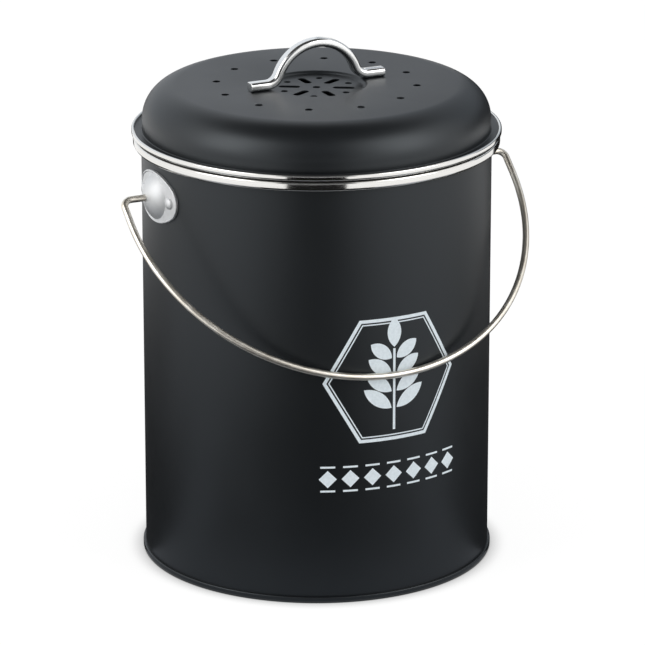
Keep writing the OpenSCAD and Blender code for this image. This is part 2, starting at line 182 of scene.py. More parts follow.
def mirrored(bm):
    """The same shape on the other side of X, facing outwards."""
    for v in bm.verts:
        v.co.x = -v.co.x
    bmesh.ops.reverse_faces(bm, faces=bm.faces[:])
    return bm


def new_mesh(name, bm):
    """Turns a shape into a mesh and lets go of the shape."""
    mesh = bpy.data.meshes.new(name)
    bm.to_mesh(mesh)
    bm.free()
    return mesh


def new_object(name, data):
    """An object of the scene, at the origin."""
    thing = bpy.data.objects.new(name, data)
    scene.collection.objects.link(thing)
    return thing


def make_piece(name, bm, body, material, nodes=(), sharp=SHARP_ANGLE):
    """Makes a smooth-shaded object that moves with its body and stands for its CAD nodes."""
    mesh = new_mesh(name, bm)
    mesh.shade_smooth()
    mesh.set_sharp_from_angle(angle=math.radians(sharp))
    mesh.materials.append(material)
    piece = new_object(name, mesh)
    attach(piece, body)
    if nodes:
        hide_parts(*nodes)
    return piece


def cut_away(piece, cutters):
    """Takes the cutters' shape out of the piece."""
    tool = new_object("cutters", new_mesh("cutters", cutters))
    cut = piece.modifiers.new("cut", "BOOLEAN")
    cut.operation, cut.solver, cut.object = "DIFFERENCE", "EXACT", tool
    bpy.context.view_layer.update()
    result = bpy.data.meshes.new_from_object(piece.evaluated_get(bpy.context.evaluated_depsgraph_get()))
    piece.modifiers.clear()
    old, piece.data = piece.data, result
    result.name = piece.name
    bpy.data.meshes.remove(old)
    bpy.data.objects.remove(tool)
    result.set_sharp_from_angle(angle=math.radians(SHARP_ANGLE))


# ------------------------------------------------------------------ grain groups

def open_group(name, scales, masks):
    """A node group that takes a place and scales per metre and gives masks, with its end nodes."""
    group = bpy.data.node_groups.new(name, "ShaderNodeTree")
    group.interface.new_socket(name="Vector", in_out="INPUT", socket_type="NodeSocketVector")
    for label in scales:
        group.interface.new_socket(name=label, in_out="INPUT", socket_type="NodeSocketFloat")
    for label in masks:
        group.interface.new_socket(name=label, in_out="OUTPUT", socket_type="NodeSocketFloat")
    return group, group.nodes.new("NodeGroupInput"), group.nodes.new("NodeGroupOutput")


def grain_group(name, grains):
    """Noises over one place, from (mask, scale input, detail) each."""
    group, given, out = open_group(
        name, [scale for _, scale, _ in grains], [mask for mask, _, _ in grains])
    for mask, scale, detail in grains:
        noise = group.nodes.new("ShaderNodeTexNoise")
        noise.inputs["Detail"].default_value = detail
        group.links.new(given.outputs["Vector"], noise.inputs["Vector"])
        group.links.new(given.outputs[scale], noise.inputs["Scale"])
        group.links.new(noise.outputs["Fac"], out.inputs[mask])
    return group


def turned_lines_group():
    """Fine polishing lines that run round the Z axis."""
    group, given, out = open_group("turned_lines", ["Lines per metre"], ["Lines"])
    apart = group.nodes.new("ShaderNodeSeparateXYZ")
    flat = group.nodes.new("ShaderNodeCombineXYZ")
    radius = group.nodes.new("ShaderNodeVectorMath")
    radius.operation = "LENGTH"
    section = group.nodes.new("ShaderNodeCombineXYZ")
    noise = group.nodes.new("ShaderNodeTexNoise")
    noise.inputs["Detail"].default_value = 3.0
    link = group.links.new
    link(given.outputs["Vector"], apart.inputs["Vector"])
    link(apart.outputs["X"], flat.inputs["X"])
    link(apart.outputs["Y"], flat.inputs["Y"])
    link(flat.outputs["Vector"], radius.inputs[0])
    link(radius.outputs["Value"], section.inputs["X"])
    link(apart.outputs["Z"], section.inputs["Y"])
    link(section.outputs["Vector"], noise.inputs["Vector"])
    link(given.outputs["Lines per metre"], noise.inputs["Scale"])
    link(noise.outputs["Fac"], out.inputs["Lines"])
    return group


ORANGE_PEEL = grain_group("orange_peel", [("Peel", "Peel per metre", 2.0), ("Tone", "Tone per metre", 3.0)])
PRESS_MARKS = grain_group("press_marks", [("Tone", "Tone per metre", 4.0), ("Grain", "Grain per metre", 2.0)])
SPECKLE = grain_group("speckle", [("Specks", "Specks per metre", 4.0)])
TURNED_LINES = turned_lines_group()


# ------------------------------------------------------------------ finishes

def new_material(name):
    """A new material with its nodes, its links and its main shader."""
    material = bpy.data.materials.new(name)
    material.use_nodes = True
    nodes, links = material.node_tree.nodes, material.node_tree.links
    return material, nodes, links, nodes["Principled BSDF"]


def lay_group(nodes, links, group, scales):
    """Puts a group into a material, fed by the piece's own place, and returns its masks."""
    node = nodes.new("ShaderNodeGroup")
    node.node_tree = group
    for label, value in scales.items():
        node.inputs[label].default_value = value
    links.new(nodes.new("ShaderNodeTexCoord").outputs["Object"], node.inputs["Vector"])
    return node.outputs


def two_tone(nodes, links, shader, mask, dark, light, spread):
    """Colour from dark to light as the mask passes its middle, over spread to each side."""
    ramp = nodes.new("ShaderNodeValToRGB")
    for element, position, colour in zip(
            ramp.color_ramp.elements, (0.5 - spread, 0.5 + spread), (dark, light)):
        element.position = position
        element.color = (*colour, 1)
    links.new(mask, ramp.inputs["Fac"])
    links.new(ramp.outputs["Color"], shader.inputs["Base Color"])


def uneven_gloss(nodes, links, shader, mask, low, high):
    """Roughness from low to high over the span that a noise mostly covers."""
    span = nodes.new("ShaderNodeMapRange")
    for label, value in (("From Min", 0.3), ("From Max", 0.7), ("To Min", low), ("To Max", high)):
        span.inputs[label].default_value = value
    links.new(mask, span.inputs["Value"])
    links.new(span.outputs["Result"], shader.inputs["Roughness"])


def relief(nodes, links, shader, mask, strength, depth):
    """Fine bumps from a mask, by strength and depth in metres."""
    bump = nodes.new("ShaderNodeBump")
    bump.inputs["Strength"].default_value = strength
    bump.inputs["Distance"].default_value = depth
    links.new(mask, bump.inputs["Height"])
    links.new(bump.outputs["Normal"], shader.inputs["Normal"])


def powder_coat(name, dark, light, rough, bump, specular=0.5):
    """Matt coat in two close, slightly cool tones, with orange peel and slightly uneven gloss."""
    material, nodes, links, shader = new_material(name)
    masks = lay_group(nodes, links, ORANGE_PEEL, {"Peel per metre": 1500, "Tone per metre": 14})
    two_tone(nodes, links, shader, masks["Tone"], dark, light, 0.15)
    uneven_gloss(nodes, links, shader, masks["Tone"], rough - 0.02, rough + 0.03)
    shader.inputs["Specular IOR Level"].default_value = specular
    shader.inputs["Specular Tint"].default_value = (0.88, 0.95, 1.0, 1)
    relief(nodes, links, shader, masks["Peel"], bump, 0.00005)
    return material


def turned_metal(name, dark, light, rough, lines, bump):
    """Bright metal polished on the lathe: lines round Z in tone, gloss and height."""
    material, nodes, links, shader = new_material(name)
    mask = lay_group(nodes, links, TURNED_LINES, {"Lines per metre": lines})["Lines"]
    two_tone(nodes, links, shader, mask, dark, light, 0.2)
    uneven_gloss(nodes, links, shader, mask, rough, rough + 0.06)
    shader.inputs["Metallic"].default_value = 1.0
    relief(nodes, links, shader, mask, bump, 0.00002)
    return material


def pressed_metal(name, dark, light, rough, blotches, grain, bump):
    """Pressed or drawn metal: soft blotches in tone and gloss over a fine grain."""
    material, nodes, links, shader = new_material(name)
    masks = lay_group(nodes, links, PRESS_MARKS, {"Tone per metre": blotches, "Grain per metre": grain})
    two_tone(nodes, links, shader, masks["Tone"], dark, light, 0.18)
    uneven_gloss(nodes, links, shader, masks["Tone"], *rough)
    shader.inputs["Metallic"].default_value = 1.0
    relief(nodes, links, shader, masks["Grain"], bump, 0.00003)
    return material


def soft_solid(name, dark, light, rough, specks, bump, depth=0.0002, sheen=0.0):
    """Rubber, plastic, felt or ink: a speckled tone over a fine grain."""
    material, nodes, links, shader = new_material(name)
    mask = lay_group(nodes, links, SPECKLE, {"Specks per metre": specks})["Specks"]
    two_tone(nodes, links, shader, mask, dark, light, 0.15)
    shader.inputs["Roughness"].default_value = rough
    shader.inputs["Sheen Weight"].default_value = sheen
    relief(nodes, links, shader, mask, bump, depth)
    return material


bucket_paint = powder_coat(
    "bucket_paint", (0.0035, 0.0042, 0.0052), (0.0048, 0.0057, 0.0069), rough=0.42, bump=0.25, specular=0.6)
lid_paint = powder_coat(
    "lid_paint", (0.0038, 0.0046, 0.0056), (0.0052, 0.0062, 0.0074), rough=0.4, bump=0.22, specular=0.6)
skirt_paint = powder_coat("skirt_paint", (0.02, 0.02, 0.021), (0.027, 0.027, 0.028), rough=0.45, bump=0.2)
rim_steel = turned_metal(
    "rim_steel", (0.74, 0.73, 0.70), (0.86, 0.85, 0.83), rough=0.07, lines=2600, bump=0.25)
ear_steel = pressed_metal(
    "ear_steel", (0.72, 0.73, 0.735), (0.80, 0.805, 0.81), rough=(0.58, 0.66),
    blotches=120, grain=2500, bump=0.2)
wire_steel = pressed_metal(
    "wire_steel", (0.80, 0.74, 0.64), (0.96, 0.92, 0.84), rough=(0.32, 0.42),
    blotches=120, grain=1800, bump=0.2)
handle_steel = pressed_metal(
    "handle_steel", (0.80, 0.80, 0.79), (0.9, 0.9, 0.89), rough=(0.1, 0.18),
    blotches=90, grain=2600, bump=0.12)
zinc = pressed_metal(
    "fastener_zinc", (0.5, 0.51, 0.53), (0.66, 0.66, 0.66), rough=(0.25, 0.4),
    blotches=500, grain=3000, bump=0.2)
seal_rubber = soft_solid(
    "seal_rubber", (0.012, 0.012, 0.012), (0.02, 0.02, 0.02), rough=0.7, specks=900, bump=0.2)
carbon_felt = soft_solid(
    "carbon_felt", (0.005, 0.005, 0.005), (0.03, 0.03, 0.031), rough=0.95, specks=1300, bump=0.9,
    depth=0.0006, sheen=0.2)
tray_plastic = soft_solid(
    "tray_plastic", (0.022, 0.023, 0.025), (0.03, 0.031, 0.033), rough=0.5, specks=1600, bump=0.25)
print_ink = soft_solid(
    "print_ink", (0.765, 0.85, 0.90), (0.845, 0.93, 0.98), rough=0.5, specks=700, bump=0.15, depth=0.00005)


# ------------------------------------------------------------------ bucket

def wall_sheet():
    """The rolled wall, with its lap seam down the back between the foot's bead and the rim."""
    bm = turn_on_lathe([
        (WALL_IN, WALL_FOOT, 0), (WALL_R, WALL_FOOT, 0), (WALL_R, WALL_TOP, 0), (WALL_IN, WALL_TOP, 0)])
    lap_in, lap_out, low, high = WALL_R - SHEET / 2, WALL_R + SHEET / 2, BEAD_TOP + 0.5, RIM_FOOT - 0.5
    lap_start, lap_turn = 87.454, 5.093
    lap = outline([(lap_in, low, 0), (lap_out, low, 0.2), (lap_out, high, 0.2), (lap_in, high, 0)])
    bmesh.ops.rotate(lap, verts=lap.verts[:], matrix=around(lap_start).to_3x3())
    sweep(lap, whole(lap), ORIGIN, UP, lap_turn, 6)
    bmesh.ops.recalc_face_normals(lap, faces=lap.faces[:])
    take_in(bm, lap)
    return bm


def rim_band():
    """The rim's band: up outside the wall, over its edge in a roll and down again inside."""
    out, tuck, roll = 94.25, RIM_TOP - 4.0, 0.9
    inner = WALL_IN - FIT - SHEET
    return turn_on_lathe([
        (WALL_R + FIT, RIM_FOOT, 0), (out, RIM_FOOT, 1.6), (out, RIM_TOP, roll), (inner, RIM_TOP, roll),
        (inner, tuck, 0), (WALL_IN - FIT, tuck, 0), (WALL_IN - FIT, RIM_TOP - SHEET, 0.3),
        (out - SHEET, RIM_TOP - SHEET, 0.3), (out - SHEET, RIM_FOOT + SHEET, 1.0),
        (WALL_R + FIT, RIM_FOOT + SHEET, 0)])


def base_pressing():
    """The pressed floor with one raised ring, folded round the wall's foot into a bead."""
    under, over, bead_in, bead_out = 3.4, 3.4 + SHEET, 88.35, 91.4
    ring = ((55, 0), (56.2, 1.2), (63.8, 1.2), (65, 0))
    return turn_on_lathe(
        [(0, under, 0)] + [(r, under + rise, 0.5) for r, rise in ring]
        + [(bead_in, under, 0), (bead_in, 0, 0.4), (bead_out, 0, 0.6), (bead_out, BEAD_TOP, 0.6),
           (WALL_R + FIT, BEAD_TOP, 0), (WALL_R + FIT, WALL_FOOT, 0), (WALL_IN - FIT, WALL_FOOT, 0),
           (WALL_IN - FIT, over, 0)]
        + [(r, over + rise, 0.5) for r, rise in reversed(ring)] + [(0, over, 0)])


make_piece("bucket_body", wall_sheet(), "bucket", bucket_paint, ["bucket_wall"])
make_piece("rolled_rim", rim_band(), "bucket", rim_steel, ["rim_ring"])
make_piece("base_plate", base_pressing(), "bucket", bucket_paint, ["base_pan"])


# ------------------------------------------------------------------ ears and rivets

# The ear's outline: its end arcs, then the flatter side arcs that run through their ends
END_R, END_Y, HALF_H = 10.0, 11.5, 13.2
SIDE_R = (END_Y ** 2 + HALF_H ** 2 - END_R ** 2) / (2 * (HALF_H - END_R))
SIDE_DROP = SIDE_R - HALF_H
END_HALF = math.degrees(math.atan2(SIDE_DROP, END_Y))
EAR_ARCS = (
    ((END_Y, 0), 2 * END_HALF), ((0, -SIDE_DROP), 180 - 2 * END_HALF),
    ((-END_Y, 0), 2 * END_HALF), ((0, SIDE_DROP), 180 - 2 * END_HALF))
DOME_R, DOME_H = 11.7, 5.6
ARC_STEPS, DOME_STEPS = 24, 96
DOME_FOOT_R = DOME_R + 0.3
WIRE_HOLE_R = 1.85


def arc_on(bm, vert, centre, angle, steps):
    """Draws an arc onwards from a vertex in the YZ plane and returns the vertex at its end."""
    return verts_in(sweep(bm, [vert], (0, centre[0] * MM, centre[1] * MM), ALONG_X, angle, steps))[0]


def ear_plate():
    """The ear's flat plate, open for the dome and cut into strips so that it can be wrapped."""
    start = math.radians(-END_HALF)
    bm = bmesh.new()
    tip = bm.verts.new((0, (END_Y + END_R * math.cos(start)) * MM, END_R * math.sin(start) * MM))
    for centre, angle in EAR_ARCS:
        tip = arc_on(bm, tip, centre, angle, ARC_STEPS)
    bmesh.ops.remove_doubles(bm, verts=bm.verts[:], dist=1e-5)
    bmesh.ops.create_circle(
        bm, cap_ends=False, segments=DOME_STEPS, radius=DOME_FOOT_R * MM,
        matrix=Matrix.Rotation(math.pi / 2, 4, "Y"))
    bmesh.ops.triangle_fill(bm, use_beauty=True, edges=bm.edges[:])
    inside = [f for f in bm.faces if f.calc_center_median().length < (DOME_R + 0.1) * MM]
    bmesh.ops.delete(bm, geom=inside, context="FACES")
    strips = int(END_Y + END_R)
    for y in range(-strips, strips + 1):
        bmesh.ops.bisect_plane(
            bm, geom=whole(bm), dist=1e-7, plane_co=(0, y * MM, 0), plane_no=ALONG_Y)
    return bm


def dome_skin():
    """Outer skin of the ear's dome, from the wire's hole down to the plate, about the X axis."""
    ball_r = (DOME_R ** 2 + DOME_H ** 2) / (2 * DOME_H)
    low = DOME_H - ball_r
    start, stop = (math.asin(r / ball_r) for r in (WIRE_HOLE_R, DOME_R))
    bm = bmesh.new()
    top = bm.verts.new(((low + ball_r * math.cos(start)) * MM, 0, ball_r * math.sin(start) * MM))
    down = sweep(bm, [top], (low * MM, 0, 0), ALONG_Y, math.degrees(start - stop), 20)
    edge = verts_in(down)[0]
    foot = bmesh.ops.extrude_vert_indiv(bm, verts=[edge])
    bmesh.ops.translate(bm, verts=foot["verts"], vec=(-edge.co.x, 0, DOME_FOOT_R * MM - edge.co.z))
    spin_full(bm, ALONG_X, DOME_STEPS)
    return bm


def ear_lip():
    """The rounded lip along the edge of the ear's plate."""
    lip_r, sunk = 0.55, 0.1
    bm = bmesh.new()
    bmesh.ops.create_circle(
        bm, cap_ends=False, segments=16, radius=lip_r * MM,
        matrix=Matrix.Translation((-sunk * MM, (END_Y + END_R - lip_r) * MM, 0)))
    ring = bm.edges[:]
    bmesh.ops.rotate(
        bm, verts=bm.verts[:], cent=(0, END_Y * MM, 0),
        matrix=Matrix.Rotation(math.radians(-END_HALF), 3, "X"))
    for (y, z), angle in EAR_ARCS:
        ring = bend_on(bm, ring, (0, y * MM, z * MM), ALONG_X, angle, ARC_STEPS)
    bmesh.ops.remove_doubles(bm, verts=bm.verts[:], dist=1e-5)
    bmesh.ops.recalc_face_normals(bm, faces=bm.faces[:])
    return bm


def ear_shape():
    """The pressed ear, drawn flat in the YZ plane, then wrapped on the wall of the +X side."""
    bm = ear_plate()
    take_in(bm, dome_skin())
    bmesh.ops.remove_doubles(bm, verts=bm.verts[:], dist=2e-5)
    bmesh.ops.recalc_face_normals(bm, faces=bm.faces[:])
    if sum(f.normal.x for f in bm.faces) < 0:
        bmesh.ops.reverse_faces(bm, faces=bm.faces[:])
    bmesh.ops.solidify(bm, geom=bm.faces[:], thickness=EAR_T * MM)
    take_in(bm, ear_lip())
    for v in bm.verts:
        lean = math.asin(v.co.y / (PLATE_R * MM))
        reach = PLATE_R * MM + v.co.x
        v.co = (reach * math.cos(lean), reach * math.sin(lean), EAR_Z * MM + v.co.z)
    return bm


def rivet_shape(lean):
    """A rivet through ear and wall of the +X side, turned on Z, laid along X and turned by lean."""
    shank_r, head_r, tail_r, tail_end, tail_seat, seat = 1.45, 3.0, 2.3, 87.6, 88.4, PLATE_R + FIT
    bm = turn_on_lathe([
        (0, tail_end, 0), (tail_r, tail_end, 0.25), (tail_r, tail_seat, 0), (shank_r, tail_seat, 0),
        (shank_r, seat, 0), (head_r, seat, 0), (2.75, seat + 0.85, 0.3), (head_r / 2, seat + 1.6, 0.5),
        (0, seat + 1.8, 0)], 48)
    bmesh.ops.transform(bm, verts=bm.verts[:], matrix=(
        Matrix.Rotation(math.radians(lean), 4, "Z") @ Matrix.Translation((0, 0, EAR_Z * MM))
        @ Matrix.Rotation(math.pi / 2, 4, "Y")))
    return bm


RIVET_LEAN = math.degrees(15.3 / PLATE_R)
make_piece("right_ear", ear_shape(), "bucket", ear_steel, ["ear_right"], sharp=30)
make_piece("left_ear", mirrored(ear_shape()), "bucket", ear_steel, ["ear_left"], sharp=30)
for side in ("right", "left"):
    for end, lean in (("front", -RIVET_LEAN), ("rear", RIVET_LEAN)):
        rivet = rivet_shape(lean) if side == "right" else mirrored(rivet_shape(lean))
        make_piece(
            f"{side}_{end}_rivet", rivet, "bucket", ear_steel, [f"ear_rivet_{side}_{end}"])


# ------------------------------------------------------------------ bail

def bail_shape():
    """Half of the wire from the middle of the bow to its head in the ear, mirrored and leaned."""
    bend, end_x = 4.5, 94.65
    flattened = ((1.6, -0.2), (1.14, -0.1), (1.0, -1.2), (0.85, -0.1))
    bm = bmesh.new()
    bmesh.ops.create_circle(
        bm, cap_ends=False, segments=28, radius=WIRE_R * MM,
        matrix=Matrix.Translation((0, 0, -BOW_R * MM)) @ Matrix.Rotation(math.pi / 2, 4, "Y"))
    ring = bend_on(bm, bm.edges[:], ORIGIN, (0, -1, 0), 90, 72)
    ring = run_on(bm, ring, (0, 0, (LEG - bend) * MM))
    ring = bend_on(bm, ring, ((BOW_R - bend) * MM, 0, (LEG - bend) * MM), (0, -1, 0), 90, 16)
    ring = run_on(bm, ring, ((end_x - (BOW_R - bend)) * MM, 0, 0))
    bm.normal_update()
    end_bar(bm, ring, flattened, LEG)
    mirror_whole(bm)
    bmesh.ops.transform(bm, verts=bm.verts[:], matrix=(
        Matrix.Translation((0, 0, EAR_Z * MM)) @ Matrix.Rotation(math.radians(BAIL_REST - 90), 4, "X")
        @ Matrix.Translation((0, 0, -LEG * MM))))
    return bm


make_piece("wire_bail", bail_shape(), "bail", wire_steel, ["bail"])


# ------------------------------------------------------------------ lid

# How far the cutters reach through the lid's top, and the edge of what lies under its flange
DRILL_LOW, DRILL_HIGH = 244, 251
UNDER_FLANGE_R = 93.0


def lid_pressing():
    """The lid: sunk middle, rounded shoulder and flat flange, all in one sheet."""
    side, shoulder, edge = 89.5, 17.5, 94.2
    sunk, top_in = LID_TOP - 2.0, LID_TOP - SHEET
    under = sunk - SHEET
    return turn_on_lathe([
        (0, sunk, 0), (24.244, sunk, 1.144), (25.356, LID_TOP, 1.144), (side, LID_TOP, shoulder),
        (side, FLANGE_Z, 0.5), (edge, FLANGE_Z, 0), (edge, FLANGE_UNDER, 0),
        (side - SHEET, FLANGE_UNDER, 1.6), (side - SHEET, top_in, shoulder - SHEET),
        (25.709, top_in, 0.791), (24.597, under, 1.497), (0, under, 0)])


def drill(bm, r, place=Matrix.Identity(4)):
    """A round cutter through the lid's top at a place about Z."""
    middle = Matrix.Translation((0, 0, (DRILL_LOW + DRILL_HIGH) / 2 * MM))
    bmesh.ops.create_cone(
        bm, cap_ends=True, segments=40, radius1=r * MM, radius2=r * MM,
        depth=(DRILL_HIGH - DRILL_LOW) * MM, matrix=place @ middle)


def slot_cutter(length, wide, place):
    """A cutter for a slot with round ends, through the lid's top at a place about Z."""
    slot = bmesh.new()
    corners = bmesh.ops.create_grid(slot, x_segments=1, y_segments=1, size=0.5)["verts"]
    bmesh.ops.scale(slot, verts=corners, vec=(length * MM, wide * MM, 1))
    round_off(slot, corners, wide / 2 - 0.02, 12)
    up = bmesh.ops.extrude_face_region(slot, geom=slot.faces[:], use_keep_orig=True)
    bmesh.ops.translate(slot, verts=verts_in(up["geom"]), vec=(0, 0, (DRILL_HIGH - DRILL_LOW) * MM))
    bmesh.ops.recalc_face_normals(slot, faces=slot.faces[:])
    bmesh.ops.transform(
        slot, verts=slot.verts[:], matrix=place @ Matrix.Translation((0, 0, DRILL_LOW * MM)))
    return slot


def lid_holes():
    """Vents in a ring, slots and small holes in the recess, a middle hole and two screw holes."""
    vents, vent_r, vent_ring = 12, 2.0, 51.4
    slots, slot_length, slot_wide, slot_ring = 6, 11.2, 4.0, 14.0
    small_r, small_ring, screw_r = 1.8, 18.2, 1.65
    bm = bmesh.new()
    for i in range(vents):
        drill(bm, vent_r, around(360 / vents * i, vent_ring))
    for i in range(slots):
        drill(bm, small_r, around(360 / slots * i, small_ring))
        take_in(bm, slot_cutter(slot_length, slot_wide, around(360 / slots * (i + 0.5), slot_ring)))
    drill(bm, vent_r)
    for side in (0, 180):
        drill(bm, screw_r, around(side, SCREW_X))
    return bm


def strap_shape(width, thick, edge, length, high, arch_r, foot_r):
    """Half of the lid's handle from the crown of its arch to the end of a foot, then mirrored."""
    middle = arch_r + thick / 2
    centre_z = LID_TOP + high - thick / 2 - middle
    turn_r = foot_r + thick / 2
    foot_z = LID_TOP + thick / 2
    turn_z = foot_z + turn_r
    turn_x = math.sqrt((middle + turn_r) ** 2 - (turn_z - centre_z) ** 2)
    low = math.degrees(math.atan2(turn_z - centre_z, turn_x))
    crown_z = centre_z + middle
    rounded_end = ((0.985, 0.25), (0.94, 0.17), (0.86, 0.08))
    bm = bmesh.new()
    crown = bmesh.ops.create_grid(
        bm, x_segments=1, y_segments=1, size=0.5,
        matrix=Matrix.Translation((0, 0, crown_z * MM)) @ Matrix.Rotation(math.pi / 2, 4, "Y"))["verts"]
    bmesh.ops.scale(
        bm, verts=crown, vec=(1, width * MM, thick * MM), space=Matrix.Translation((0, 0, -crown_z * MM)))
    round_off(bm, crown, edge, 8)
    bmesh.ops.delete(bm, geom=bm.faces[:], context="FACES_ONLY")
    ring = bend_on(bm, bm.edges[:], (0, 0, centre_z * MM), ALONG_Y, 90 - low, 36)
    ring = bend_on(bm, ring, (turn_x * MM, 0, turn_z * MM), (0, -1, 0), 90 - low, 18)
    ring = run_on(bm, ring, ((length / 2 - turn_x - 0.5) * MM, 0, 0))
    end_bar(bm, ring, rounded_end, foot_z)
    mirror_whole(bm)
    return bm


def hem_bead():
    """The bead closed round the edge of the lid's flange."""
    inner, outer, low, high = 93.4, 95.0, 224.4, 227.4
    return turn_on_lathe([(inner, low, 0.05), (outer, low, 1.1), (outer, high, 0.79), (inner, high, 0.79)])


def seal_ring():
    """The soft ring under the skirt's flange, which lies on the rim."""
    inner, rounding = 87.2, 0.2
    return turn_on_lathe([
        (inner, SKIRT_FLANGE_Z, rounding), (inner, RIM_TOP, rounding),
        (UNDER_FLANGE_R, RIM_TOP, 0.7), (UNDER_FLANGE_R, SKIRT_FLANGE_Z, rounding)])


def skirt_ring():
    """The ring that keeps the lid in the bucket's mouth, with its flange under the lid's."""
    inner, foot, rounding = 86.55, 212.2, 0.29
    outer = inner + SHEET
    return turn_on_lathe([
        (inner, FLANGE_UNDER, 0), (inner, foot, rounding), (outer, foot, rounding),
        (outer, SKIRT_FLANGE_Z, 0), (UNDER_FLANGE_R, SKIRT_FLANGE_Z, 0), (UNDER_FLANGE_R, FLANGE_UNDER, 0)])


def pad_disc():
    """The pad of carbon felt on its tray."""
    pad_r, low, high, rounding = 84.35, 214.8, 221.8, 0.8
    return turn_on_lathe([(0, low, 0), (pad_r, low, rounding), (pad_r, high, rounding), (0, high, 0)])


lid = make_piece("pressed_lid", lid_pressing(), "lid", lid_paint, ["lid_shell"])
cut_away(lid, lid_holes())
make_piece("hem_bead", hem_bead(), "lid", rim_steel, ["lid_hem"])
make_piece("soft_seal", seal_ring(), "lid", seal_rubber, ["lid_seal"])
make_piece("mouth_skirt", skirt_ring(), "lid", skirt_paint, ["lid_skirt"])
strap = strap_shape(width=6.6, thick=4.7, edge=1.9, length=75.6, high=24.1, arch_r=20.8, foot_r=4.9)
make_piece("bent_strap", strap, "lid", handle_steel, ["lid_handle"])
make_piece("felt_pad", pad_disc(), "filter", carbon_felt, ["charcoal_filter"])


# ------------------------------------------------------------------ print on the wall

def hexagon_frame(size, line):
    """An upright hexagon line, by its outer corner radius and its width."""
    shape = bmesh.new()
    bmesh.ops.create_circle(shape, cap_ends=True, segments=6, radius=size)
    middle = shape.faces[:]
    bmesh.ops.inset_individual(shape, faces=middle, thickness=line, use_even_offset=True)
    bmesh.ops.delete(shape, geom=middle, context="FACES")
    bmesh.ops.rotate(shape, verts=shape.verts[:], matrix=Matrix.Rotation(math.pi / 2, 3, "Z"))
    return shape


def leaf(length, wide, x, y, lean):
    """A pointed leaf whose foot is at x, y; lean is measured from upright, clockwise."""
    bend = (length ** 2 + wide ** 2) / (4 * wide)
    half = math.degrees(math.asin(length / 2 / bend))
    shape = bmesh.new()
    tip = shape.verts.new((0, 0, 0))
    for side in (1, -1):
        centre = (side * (wide / 2 - bend), length / 2, 0)
        tip = verts_in(sweep(shape, [tip], centre, UP, 2 * half, 14))[0]
    bmesh.ops.remove_doubles(shape, verts=shape.verts[:], dist=0.01)
    bmesh.ops.contextual_create(shape, geom=shape.edges[:])
    bmesh.ops.rotate(shape, verts=shape.verts[:], matrix=Matrix.Rotation(math.radians(-lean), 3, "Z"))
    bmesh.ops.translate(shape, verts=shape.verts[:], vec=(x, y, 0))
    return shape


def bar(wide, tall, x, y):
    """An upright or level bar about its middle."""
    shape = bmesh.new()
    verts = bmesh.ops.create_grid(shape, x_segments=1, y_segments=1, size=0.5)["verts"]
    bmesh.ops.scale(shape, verts=verts, vec=(wide, tall, 1))
    bmesh.ops.translate(shape, verts=verts, vec=(x, y, 0))
    return shape


def diamond(size, x, y):
    """A diamond about its middle, by its corner radius."""
    shape = bmesh.new()
    bmesh.ops.create_circle(
        shape, cap_ends=True, segments=4, radius=size, matrix=Matrix.Translation((x, y, 0)))
    return shape


def print_marks():
    """Leaf sprig in a double hexagon over a border of diamonds and dashes, flat, in millimetres."""
    border_y, border_step = -51, 11.6
    marks = [hexagon_frame(37.5, 1.7), hexagon_frame(34.6, 0.6)]
    marks += [bar(1.3, 43.0, 0, -5.5), leaf(15.5, 7.6, 0, 16.8, 0)]
    for pair, y in enumerate((11.0, 2.2, -6.6, -15.4)):
        marks += [leaf(14.0 + 1.5 * pair, 7.2, side * 1.4, y, side * 54) for side in (1, -1)]
    for i in range(-3, 4):
        marks.append(diamond(4.6, border_step * i, border_y))
        marks += [bar(7.6, 1.0, border_step * i, border_y + side * 6.4) for side in (1, -1)]
    return marks


def wall_print():
    """The marks as a thin coat of ink, a hair proud of the wall and wrapped round its front."""
    ink, sunk, middle_z = 0.1, 0.02, 117.5
    bm = bmesh.new()
    for mark in print_marks():
        take_in(bm, mark)
    for x in range(-42, 43, 2):
        bmesh.ops.bisect_plane(bm, geom=whole(bm), dist=1e-4, plane_co=(x, 0, 0), plane_no=ALONG_X)
    front = bmesh.ops.extrude_face_region(bm, geom=bm.faces[:], use_keep_orig=True)
    bmesh.ops.translate(bm, verts=verts_in(front["geom"]), vec=(0, 0, ink))
    bmesh.ops.recalc_face_normals(bm, faces=bm.faces[:])
    for v in bm.verts:
        lean, reach = v.co.x / WALL_R, WALL_R - sunk + v.co.z
        v.co = (reach * math.sin(lean) * MM, -reach * math.cos(lean) * MM, (middle_z + v.co.y) * MM)
    return bm


make_piece("leaf_print", wall_print(), "bucket", print_ink)


# ------------------------------------------------------------------ CAD nodes that stay

def dress(node, material):
    """Gives a CAD node its finish."""
    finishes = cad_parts[node].data.materials
    finishes.clear()
    finishes.append(material)


for node in ("handle_screw_left", "handle_screw_right", "handle_washer_left", "handle_washer_right"):
    dress(node, zinc)
dress("filter_tray", tray_plastic)


# ------------------------------------------------------------------ studio

# Metres from here on. Azimuth 0 is the camera's side and grows to the camera's right.
CAMERA_TURN = -25.7
AIM_HEIGHT = 0.13
BUCKET_EDGE = 0.0917
CARD_Z, FLAG_Z = 0.001, 0.0014


def see_as_white(nodes, links, others, white):
    """Camera, glossy and transmission rays see white; every other ray sees the other shader."""
    path = nodes.new("ShaderNodeLightPath")
    seen = path.outputs["Is Camera Ray"]
    for ray in ("Is Glossy Ray", "Is Transmission Ray"):
        add = nodes.new("ShaderNodeMath")
        add.operation = "MAXIMUM"
        links.new(seen, add.inputs[0])
        links.new(path.outputs[ray], add.inputs[1])
        seen = add.outputs[0]
    mix = nodes.new("ShaderNodeMixShader")
    links.new(seen, mix.inputs[0])
    links.new(others, mix.inputs[1])
    links.new(white, mix.inputs[2])
    return mix.outputs[0]


